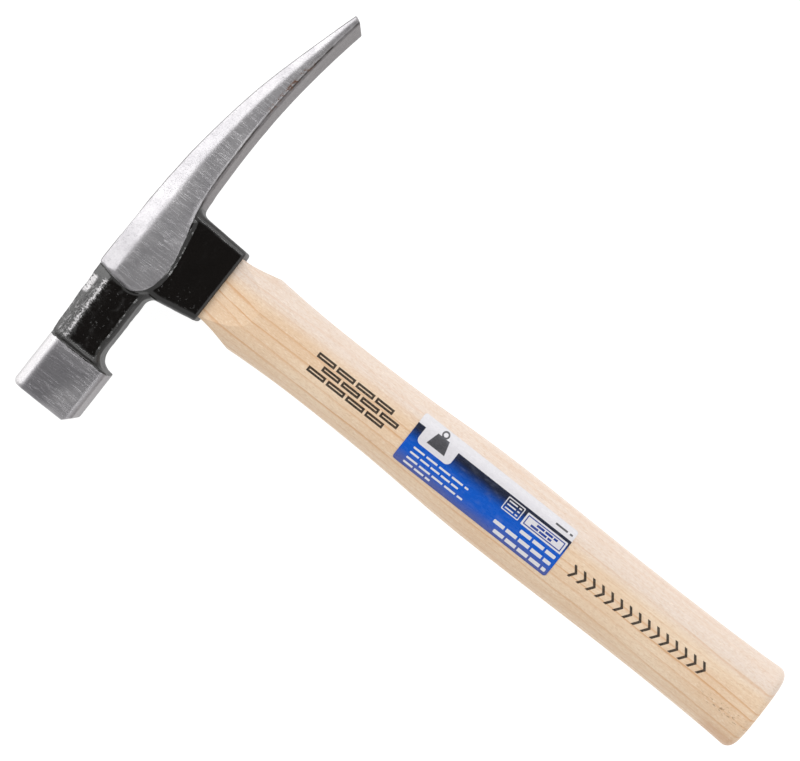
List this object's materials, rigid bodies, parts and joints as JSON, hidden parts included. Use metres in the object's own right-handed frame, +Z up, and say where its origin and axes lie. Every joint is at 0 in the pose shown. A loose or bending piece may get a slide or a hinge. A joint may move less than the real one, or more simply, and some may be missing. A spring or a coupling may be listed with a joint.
{
  "type": "brick hammer",
  "caption": "Bricklayer's hammer with a square striking poll, a long curved chisel blade and an oval wooden handle wedged into the head.",
  "frame": {"origin": "centre of the bounding box's lower face, with the hammer lying on its side", "axes": "+X along the handle from the head to the butt, +Y along the head from the striking face to the chisel edge, +Z up through the thickness"},
  "size_m": [0.2794, 0.174, 0.0329],
  "materials": {
    "head_steel": "ground steel with black enamel on the neck and collar",
    "handle_wood": "pale hickory under clear lacquer",
    "wedge_wood": "plain hardwood end grain",
    "wedge_steel": "plain rolled steel",
    "label_film": "glossy printed film"
  },
  "bodies": {
    "root": {"head": "head_steel", "handle": "handle_wood", "wooden_wedge": "wedge_wood", "steel_wedges": "wedge_steel", "label": "label_film"}
  },
  "joints": []
}
